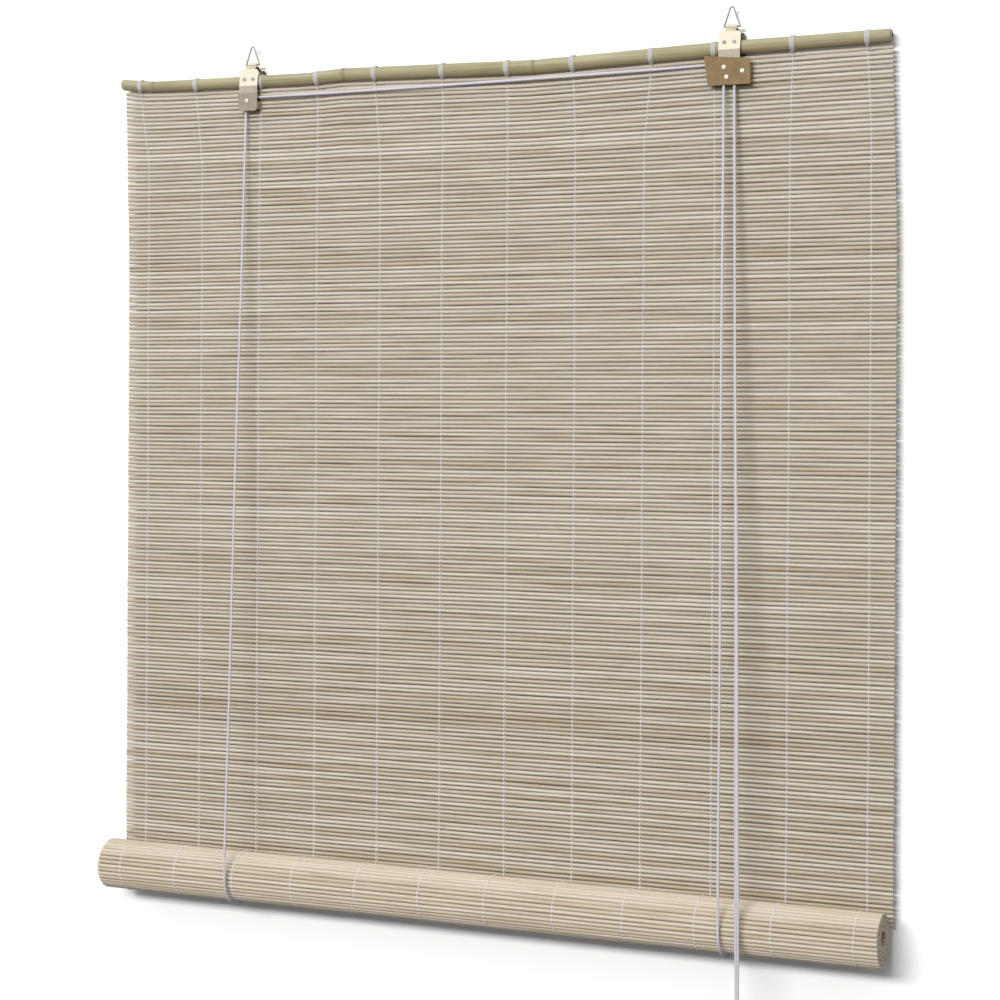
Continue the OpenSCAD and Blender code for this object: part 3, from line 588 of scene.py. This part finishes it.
def on_roller(roller, y, start, end, count):
    """An arc of cord on a roller, between two angles in degrees."""
    turn = np.radians(np.linspace(start, end, count))
    x = roller[0] + TURN_R * np.cos(turn)
    z = roller[1] + TURN_R * np.sin(turn)
    return np.stack([x, np.full(count, y), z], axis=1)


def leave_angle(roller):
    """Angle at which the cord leaves a roller for the mouth, in degrees."""
    way = (MOUTH[0] - roller[0], MOUTH[1] - roller[1])
    return math.degrees(math.atan2(way[1], way[0]) + math.acos(TURN_R / math.hypot(*way)))


def to_mouth(start, y):
    """The straight stretch from a roller to the mouth."""
    share = np.linspace(0, 1, 6)[1:, None]
    return start * (1 - share) + np.array((MOUTH[0], y, LOCK_FOOT)) * share


# Between the boxes the cross cord is slack: it sags and looks thicker there.
CROSS_SAG = 0.0012
SLACK_CORD_R = 0.0015
SLACK_START = 0.03
SLACK_FULL = 0.06
first = on_roller(LEFT_ROLLER, REAR_Y, 180, 90, 12)
last = on_roller(UPPER_ROLLER, REAR_Y, 90, leave_angle(UPPER_ROLLER), 9)
share = np.linspace(0, 1, 40)[1:-1, None]
run = first[-1] * (1 - share) + last[0] * share
run[:, 2] -= CROSS_SAG * 4 * (share * (1 - share))[:, 0]
cross_path = np.concatenate([[left_hold], first, run, last, to_mouth(last[-1], REAR_Y)])
from_box = np.minimum(cross_path[:, 0] - LEFT_ROLLER[0], UPPER_ROLLER[0] - cross_path[:, 0])
cross_r = np.interp(from_box, [SLACK_START, SLACK_FULL], [CORD_R, SLACK_CORD_R])
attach(single_cord("cross_cord", cross_path, cross_r, Y_WAY, "left_cord_cross_run"), "head")

over_roller = on_roller(LOWER_ROLLER, FACE_Y, 180, leave_angle(LOWER_ROLLER), 16)
turn_path = np.concatenate([[right_hold], over_roller, to_mouth(over_roller[-1], FACE_Y)])
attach(single_cord("right_turn_cord", turn_path, CORD_R, Y_WAY, "right_cord_turn"), "head")

STRAP_KNOT_R = 0.0008
KNOT_DROP = 0.0024
STUB_LENGTH = 0.006
knots = Bars()
knot_low, knot_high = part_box("back_leg_knots")
for x, drop in ((LEFT_X, RIGHT_RISE), (RIGHT_X, 0)):
    top = knot_high[2] - drop
    stub = [(x, TAB_Y, top - share * STUB_LENGTH) for share in np.linspace(0.5, 1, 6)]
    knots.add(knot_path((x, TAB_Y, top - KNOT_DROP)), STRAP_KNOT_R, KNOT_SIDES, Z_WAY)
    knots.add(stub, CORD_R, KNOT_SIDES, X_WAY)
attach(knots.build("strap_knots", CORD, "cord", "back_leg_knots"), "head")


# Head rod

ROD_POINTS = 260
ROD_SIDES = 28
ROD_OVAL = 0.015
# Knuckles: a ridge, a groove beside it and a brown mark, in shares of the radius and millimetres
KNUCKLE_REACH = 5
KNUCKLE_POINTS = 21
RIDGE_HEIGHT = 0.06
RIDGE_WIDTH = 1.6
GROOVE_DEPTH = 0.035
GROOVE_PLACE = 3
GROOVE_WIDTH = 0.9
MARK_SHARE = 0.7
MARK_PLACE = 1.8
MARK_WIDTH = 2.0
# Ends: points of the rounded rim in millimetres from the end, then the bore
RIM_POINTS = [0.1, 0.25, 0.5, 0.8, 1.2, 1.8]
RIM_ROUND = 0.0018
BORE_R = 0.0025
BORE_END_R = 0.0024
BORE_DEPTH = 0.0115


def rod_z(x):
    return np.interp(x, ROD_X, ROD_LINE_Z - ROD_BOW * np.array(ROD_DIP_SHARES))


def rod_r(x):
    return np.interp(x, ROD_X, ROD_R * np.array(ROD_R_SHARES))


def bell(away, place, width):
    """A rise to 1 at a place, with soft flanks."""
    return np.exp(-(((away - place) / width) ** 2))


def build_rod():
    """A crooked culm with ridged knuckles and open ends."""
    xs = np.linspace(ROD_X[0], ROD_X[-1], ROD_POINTS)
    knuckles = [ROD_X[i] for i in KNUCKLES]
    for knuckle in knuckles:
        xs = np.append(xs, knuckle + MM * np.linspace(-KNUCKLE_REACH, KNUCKLE_REACH, KNUCKLE_POINTS))
    for end, way in ((ROD_X[0], 1), (ROD_X[-1], -1)):
        xs = np.append(xs, end + way * MM * np.array(RIM_POINTS))
    xs = np.unique(np.round(xs, 6))
    radius = rod_r(xs) * (1 + 0.012 * np.sin(xs * 31) + 0.008 * np.sin(xs * 83 + 1))
    mark = np.zeros(len(xs))
    for knuckle in knuckles:
        away = (xs - knuckle) / MM
        ridge = RIDGE_HEIGHT * bell(away, 0, RIDGE_WIDTH)
        groove = GROOVE_DEPTH * bell(away, GROOVE_PLACE, GROOVE_WIDTH)
        radius *= 1 + ridge - groove
        mark = np.maximum(mark, MARK_SHARE * bell(away, MARK_PLACE, MARK_WIDTH))
    from_end = np.minimum(xs - ROD_X[0], ROD_X[-1] - xs)
    radius *= np.sqrt(1 - 0.5 * np.clip(1 - from_end / RIM_ROUND, 0, 1) ** 2)
    left_bore = [ROD_X[0] + BORE_DEPTH, ROD_X[0]]
    right_bore = [ROD_X[-1], ROD_X[-1] - BORE_DEPTH]
    xs = np.concatenate([left_bore, xs, right_bore])
    radius = np.concatenate([[BORE_END_R, BORE_R], radius, [BORE_R, BORE_END_R]])
    mark = np.concatenate([[1, 0.8], mark, [0.8, 1]])
    turn = np.linspace(0, 2 * math.pi, ROD_SIDES, endpoint=False)
    oval = 1 + ROD_OVAL * np.cos(2 * turn + 0.6)
    points = np.stack(
        [
            np.repeat(xs, ROD_SIDES),
            (radius[:, None] * (oval * np.cos(turn))).ravel(),
            np.repeat(rod_z(xs), ROD_SIDES) + (radius[:, None] * (oval * np.sin(turn))).ravel(),
        ],
        axis=1,
    )
    faces = []
    for row in range(len(xs) - 1):
        for k in range(ROD_SIDES):
            a, b = row * ROD_SIDES + k, row * ROD_SIDES + (k + 1) % ROD_SIDES
            faces.append((a, b, b + ROD_SIDES, a + ROD_SIDES))
    last = (len(xs) - 1) * ROD_SIDES
    faces.append(tuple(range(ROD_SIDES - 1, -1, -1)))
    faces.append(tuple(range(last, last + ROD_SIDES)))
    mesh = bpy.data.meshes.new("culm")
    mesh.from_pydata(points.tolist(), [], faces)
    mesh.attributes.new("knuckle", "FLOAT", "POINT").data.foreach_set("value", np.repeat(mark, ROD_SIDES))
    mesh.polygons.foreach_set("use_smooth", [len(face) == 4 for face in faces])
    mesh.materials.append(ROD)
    rod = bpy.data.objects.new("culm", mesh)
    bpy.context.scene.collection.objects.link(rod)
    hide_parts("head_rod")
    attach(rod, "head")


build_rod()


# How the mat hangs from the rod

# The first sticks follow the rod's lower side, and the mat hangs straight from there down.
ROD_LOWEST = min(rod_z(x) - rod_r(x) for x in ROD_X)
BOWED_STICKS = 40
BOW_SHARE = 0.85
# The mat's drift to the right, by the way down from its top
DRIFT_DOWN = [0, 0.15, 0.23, 0.74]
DRIFT_REACH = [0, 0.0033, 0.0033, 0]
THREAD_SHIFT = 0.0026
THREAD_SLANT = 0.0062
THREAD_LEAD = 0.07


def drift(i):
    """Sideways drift of the mat at stick i."""
    return np.interp(i * STICK_PITCH, DRIFT_DOWN, DRIFT_REACH)


def thread_x(x, top_x, i):
    """Place of a thread at stick i: it starts under its binding and slants to the left."""
    down = i * STICK_PITCH
    slant = THREAD_SHIFT - THREAD_SLANT * down
    return x + slant + (top_x - x - slant) * np.clip(1 - down / THREAD_LEAD, 0, 1)


def stick_z(x, i):
    """Height of stick i, which may lie between two sticks."""
    lift = (rod_z(x) - rod_r(x) - ROD_LOWEST) * BOW_SHARE
    return MAT_TOP - i * STICK_PITCH + lift * np.clip(1 - i / BOWED_STICKS, 0, 1) ** 2


# Bindings: turns of yarn round the rod, and strands down to the first stick

WRAP_GAP = 0.0003
WRAP_TURNS = 7
WRAP_STEPS = 24
WRAP_HALF_WIDTH = 0.0024
WRAP_R = 0.00042
DOWN_STRAND_R = 0.0005
DOWN_STRAND_SIDES = 6
DOWN_STRAND_OFFSET = 0.0007
DOWN_STRAND_SPACING = 0.0015
STICK_CLEAR = 0.0004
wraps = Bars()
for x in BINDINGS:
    axis_z = float(rod_z(x))
    r = float(rod_r(x)) + WRAP_GAP
    turn = np.linspace(-math.pi / 2, 2 * math.pi * WRAP_TURNS - math.pi / 2, WRAP_TURNS * WRAP_STEPS + 1)
    wobble = 0.0001 * np.sin(turn * 0.37 + x * 90)
    band = x + np.linspace(-WRAP_HALF_WIDTH, WRAP_HALF_WIDTH, len(turn)) + wobble
    path = np.stack([band, r * np.cos(turn), axis_z + r * np.sin(turn)], axis=1)
    wraps.add(path, WRAP_R, TWINE_SIDES, X_WAY)
    foot = float(stick_z(x, 0))
    for side in (-1, 1):
        for offset in (-DOWN_STRAND_OFFSET, DOWN_STRAND_OFFSET):
            strand = [
                (x + offset, side * r * 0.98, axis_z),
                (x + offset, side * r * 0.9, axis_z - r * 0.75),
                (x + offset, side * (STICK_R + STICK_CLEAR), foot + STICK_R),
                (x + offset, side * (STICK_R + STICK_CLEAR), foot - STICK_R),
            ]
            wraps.add(smooth(strand, DOWN_STRAND_SPACING), DOWN_STRAND_R, DOWN_STRAND_SIDES, X_WAY)
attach(wraps.build("rod_wraps", WRAP, "thread", "rod_bindings"), "head")


# Sticks and threads, for the hanging mat and the roll

WAVE_LENGTHS = (0.33, 0.14, 0.06)
WAVE_SHARES = (0.6, 0.3, 0.18)
CUT_SCATTER = 0.0003
TWINE_R = 0.00055
TWINE_LIFT = STICK_R + 0.00035
TWINE_SPREAD = 0.0003
TWINE_STEPS = 4


def wave(xs, reach):
    """A slow seeded wander along a stick."""
    return reach * sum(
        share * np.sin(2 * math.pi * (xs / length + rng.random()))
        for length, share in zip(WAVE_LENGTHS, WAVE_SHARES)
    )


def stick_xs(count, shift):
    """Points along a stick, whose two ends are cut a little unevenly."""
    ends = rng.uniform(-CUT_SCATTER, CUT_SCATTER, 2)
    return np.linspace(MAT_X0 + ends[0], MAT_X1 + ends[1], count) + shift


def weave(turn):
    """Side of the sticks on which a strand lies, 1 and -1 by turns from stick to stick."""
    swing = np.cos(math.pi * turn)
    return np.sign(swing) * np.abs(swing) ** 0.6


def strand_shift(turn, strand):
    """Sideways place of a strand, which crosses its twin between the sticks."""
    return strand * TWINE_SPREAD * np.sin(math.pi * (turn + 0.25))


# Hanging mat

MAT_STICK_POINTS = 33
MAT_TOP_R = 0.00182
MAT_FOOT_R = 0.00175
# The last sticks ride on the roll, so that the mat above them stays clear of it.
FOOT_STICKS = 5
mat = Bars()
mat_foot = Bars()
for i in range(STICKS):
    xs = stick_xs(MAT_STICK_POINTS, drift(i))
    path = np.stack([xs, wave(xs, 0.0002), stick_z(xs, i) + wave(xs, 0.0003)], axis=1)
    radius = np.interp(i, [0, STICKS], [MAT_TOP_R, MAT_FOOT_R]) * rng.uniform(0.955, 1.025)
    radius = radius * (1 + wave(xs, 0.03))
    part = mat if i < STICKS - FOOT_STICKS else mat_foot
    part.add(path, radius, STICK_SIDES, Z_WAY, rng.random())
rise_with_roll(mat.build("mat_sticks", REED, "reed", "reed_mat"))
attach(mat_foot.build("mat_foot_sticks", REED, "reed"), "lift")

threads = Bars()
foot_threads = Bars()
turn = np.linspace(0, STICKS - 1, (STICKS - 1) * TWINE_STEPS + 1)
cut = (STICKS - FOOT_STICKS) * TWINE_STEPS - TWINE_STEPS // 2
for x, top_x in zip(THREADS, BINDINGS):
    line = thread_x(x, top_x, turn) + wave(turn * STICK_PITCH, 0.0003)
    for strand in (-1, 1):
        y = strand * TWINE_LIFT * weave(turn)
        path = np.stack([line + strand_shift(turn, strand), y, stick_z(line, turn)], axis=1)
        threads.add(path[: cut + 1], TWINE_R, TWINE_SIDES, X_WAY)
        foot_threads.add(path[cut:], TWINE_R, TWINE_SIDES, X_WAY)
rise_with_roll(threads.build("mat_twine", THREAD, "thread", "warp_threads"))
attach(foot_threads.build("mat_foot_twine", THREAD, "thread"), "lift")


# Rolled part of the mat

ROLL_LENGTH = math.pi * ROLL_TURNS * (2 * ROLL_R - TURN_PITCH * ROLL_TURNS)
ROLL_STICKS = int(ROLL_LENGTH // STICK_PITCH)
ROLL_STICK_POINTS = 25
ROLL_STICK_R = 0.00194
# The roll's threads show on its outer turn alone, so they are made for that turn and a little more.
THREADED_STICKS = 46


def roll_angle(i):
    """Angle of stick i on the spiral, from the back and down."""
    return 2 * math.pi / TURN_PITCH * (ROLL_R - np.sqrt(ROLL_R**2 - TURN_PITCH * i * STICK_PITCH / math.pi))


def on_roll(i, lift):
    """Place of stick i on the spiral, as y and z, lifted off it by lift."""
    angle = roll_angle(i)
    r = ROLL_R - TURN_PITCH * angle / (2 * math.pi) + lift
    return ROLL_Y + r * np.cos(angle), ROLL_Z - r * np.sin(angle)


roll = Bars()
for i in range(ROLL_STICKS):
    xs = stick_xs(ROLL_STICK_POINTS, ROLL_SHIFT)
    y, z = on_roll(i, 0.0)
    path = np.stack([xs, y + wave(xs, 0.00022), z + wave(xs, 0.00022)], axis=1)
    radius = ROLL_STICK_R * rng.uniform(0.985, 1.015)
    radius = radius * (1 + wave(xs, 0.02))
    roll.add(path, radius, STICK_SIDES, Z_WAY, rng.random())
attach(roll.build("roll_sticks", LIT_ROLL_REED, "reed", "mat_roll"), "roll")

coils = Bars()
turn = np.linspace(0, THREADED_STICKS, THREADED_STICKS * TWINE_STEPS + 1)
for x in THREADS:
    for strand in (-1, 1):
        y, z = on_roll(turn, strand * TWINE_LIFT * weave(turn))
        path = np.stack([x + ROLL_SHIFT + strand_shift(turn, strand), y, z], axis=1)
        coils.add(path, TWINE_R, TWINE_SIDES, X_WAY)
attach(coils.build("roll_twine", THREAD, "thread", "roll_threads"), "roll")


# Metal nodes: rounded edges and their finishes

EDGE_WIDTH = 0.00025
EDGE_ANGLE = 40
for subpart in frame["record"]["subparts"]:
    slot = subpart["material_slot"]
    if slot not in METALS:
        continue
    piece = bpy.data.objects[subpart["node"]]
    piece.data.materials.clear()
    piece.data.materials.append(METALS[slot])
    bevel = piece.modifiers.new("edges", "BEVEL")
    bevel.width = EDGE_WIDTH
    bevel.segments = 2
    bevel.limit_method = "ANGLE"
    bevel.angle_limit = math.radians(EDGE_ANGLE)


# Floor and wall


def stage_plane(name, corners, colour, bounce_share=None):
    """A matt plane that shows from its front alone.

    It sends on a share of the soft light that meets it, or without a share lets that light through.
    """
    mesh = bpy.data.meshes.new(name)
    mesh.from_pydata(corners, [], [(0, 1, 2, 3)])
    shader = Shader(name, 0.9)
    shader.surface.inputs["Specular IOR Level"].default_value = 0.1
    grain = shader.noise((30, 30, 30), detail=2)
    pale = shader.ramp(grain, (0.3, colour), (0.7, tuple(0.99 * c for c in colour)))
    soft_ray = shader.tree.nodes.new("ShaderNodeLightPath").outputs["Is Diffuse Ray"]
    hidden = shader.tree.nodes.new("ShaderNodeNewGeometry").outputs["Backfacing"]
    if bounce_share is None:
        hidden = shader.math("MAXIMUM", hidden, soft_ray)
    else:
        pale = shader.mix(soft_ray, pale, tuple(bounce_share * c for c in colour))
    shader.finish(pale)
    clear = shader.tree.nodes.new("ShaderNodeBsdfTransparent").outputs[0]
    mixed = shader.node("ShaderNodeMixShader", i0=hidden, i1=shader.surface.outputs[0], i2=clear)
    shader.set(shader.tree.nodes["Material Output"].inputs["Surface"], mixed)
    mesh.materials.append(shader.material)
    plane = bpy.data.objects.new(name, mesh)
    bpy.context.scene.collection.objects.link(plane)


FLOOR_Z = -1.16
FLOOR_FRONT = -8
WALL_Y = 0.0112
WALL_TOP = 4
STAGE_LEFT = -6
STAGE_RIGHT = 8
back_left = (STAGE_LEFT, WALL_Y, FLOOR_Z)
back_right = (STAGE_RIGHT, WALL_Y, FLOOR_Z)
front_left = (STAGE_LEFT, FLOOR_FRONT, FLOOR_Z)
front_right = (STAGE_RIGHT, FLOOR_FRONT, FLOOR_Z)
top_left = (STAGE_LEFT, WALL_Y, WALL_TOP)
top_right = (STAGE_RIGHT, WALL_Y, WALL_TOP)
stage_plane("floor", [front_left, front_right, back_right, back_left], (0.9, 0.9, 0.9), 0.07)
stage_plane("wall", [back_left, back_right, top_right, top_left], (1.0, 1.0, 1.0))


# Light: one large lamp, and a world that is brighter above

KEY_PLACE = (-0.2, -4.9, 1.35)
KEY_AIM = (0.25, 0, -0.45)
KEY_SIZE = (3.2, 0.9)
KEY_POWER = 246
KEY_COLOUR = (1.0, 0.985, 0.955)
key = bpy.data.lights.new("key", "AREA")
key.shape = "ELLIPSE"
key.size, key.size_y = KEY_SIZE
key.energy = KEY_POWER
key.color = KEY_COLOUR
key_lamp = bpy.data.objects.new("key", key)
bpy.context.scene.collection.objects.link(key_lamp)
key_lamp.location = KEY_PLACE
way = np.array(KEY_AIM) - np.array(KEY_PLACE)
tilt = math.acos(-way[2] / np.linalg.norm(way))
key_lamp.rotation_euler = (tilt, 0, math.atan2(way[1], way[0]) - math.pi / 2)
key_lamp.visible_glossy = False

# Stops of the world's light, as a share of the height and a level
SOFT_LOW, SOFT_HIGH = (0.3, 0.05), (0.76, 0.84)
GLOSS_LOW, GLOSS_HIGH = (0.59, 0.8), (0.67, 2.0)
BACK_LOW, BACK_HIGH = (0.3, 0.2), (0.7, 0.2)
world = bpy.data.worlds.new("studio")
bpy.context.scene.world = world
world.use_nodes = True
tree = world.node_tree
direction = tree.nodes.new("ShaderNodeSeparateXYZ")
tree.links.new(tree.nodes.new("ShaderNodeTexCoord").outputs["Generated"], direction.inputs[0])
rise = tree.nodes.new("ShaderNodeMapRange")
rise.inputs["From Min"].default_value = -1.0
tree.links.new(direction.outputs[2], rise.inputs["Value"])


def sky(low, high):
    """A background that changes upwards between two stops."""
    ramp = tree.nodes.new("ShaderNodeValToRGB")
    for element, (position, level) in zip(ramp.color_ramp.elements, (low, high)):
        element.position = position
        element.color = (0.97 * level, 0.98 * level, level, 1.0)
    background = tree.nodes.new("ShaderNodeBackground")
    tree.links.new(rise.outputs[0], ramp.inputs["Fac"])
    tree.links.new(ramp.outputs["Color"], background.inputs["Color"])
    return background.outputs[0]


def choose(share, a, b):
    """Light a where share is 0, and light b where it is 1."""
    choice = tree.nodes.new("ShaderNodeMixShader")
    for socket, value in zip(choice.inputs, (share, a, b)):
        tree.links.new(value, socket)
    return choice.outputs[0]


ray = tree.nodes.new("ShaderNodeLightPath").outputs
white = tree.nodes["Background"]
white.inputs["Color"].default_value = (1, 1, 1, 1)
behind = tree.nodes.new("ShaderNodeMath")
behind.operation = "GREATER_THAN"
behind.inputs[1].default_value = 0.0
tree.links.new(direction.outputs[1], behind.inputs[0])
around = choose(behind.outputs[0], sky(SOFT_LOW, SOFT_HIGH), sky(BACK_LOW, BACK_HIGH))
lit = choose(ray["Is Glossy Ray"], around, sky(GLOSS_LOW, GLOSS_HIGH))
seen = choose(ray["Is Camera Ray"], lit, white.outputs[0])
tree.links.new(seen, tree.nodes["World Output"].inputs["Surface"])

bpy.context.scene.view_settings.view_transform = "Standard"
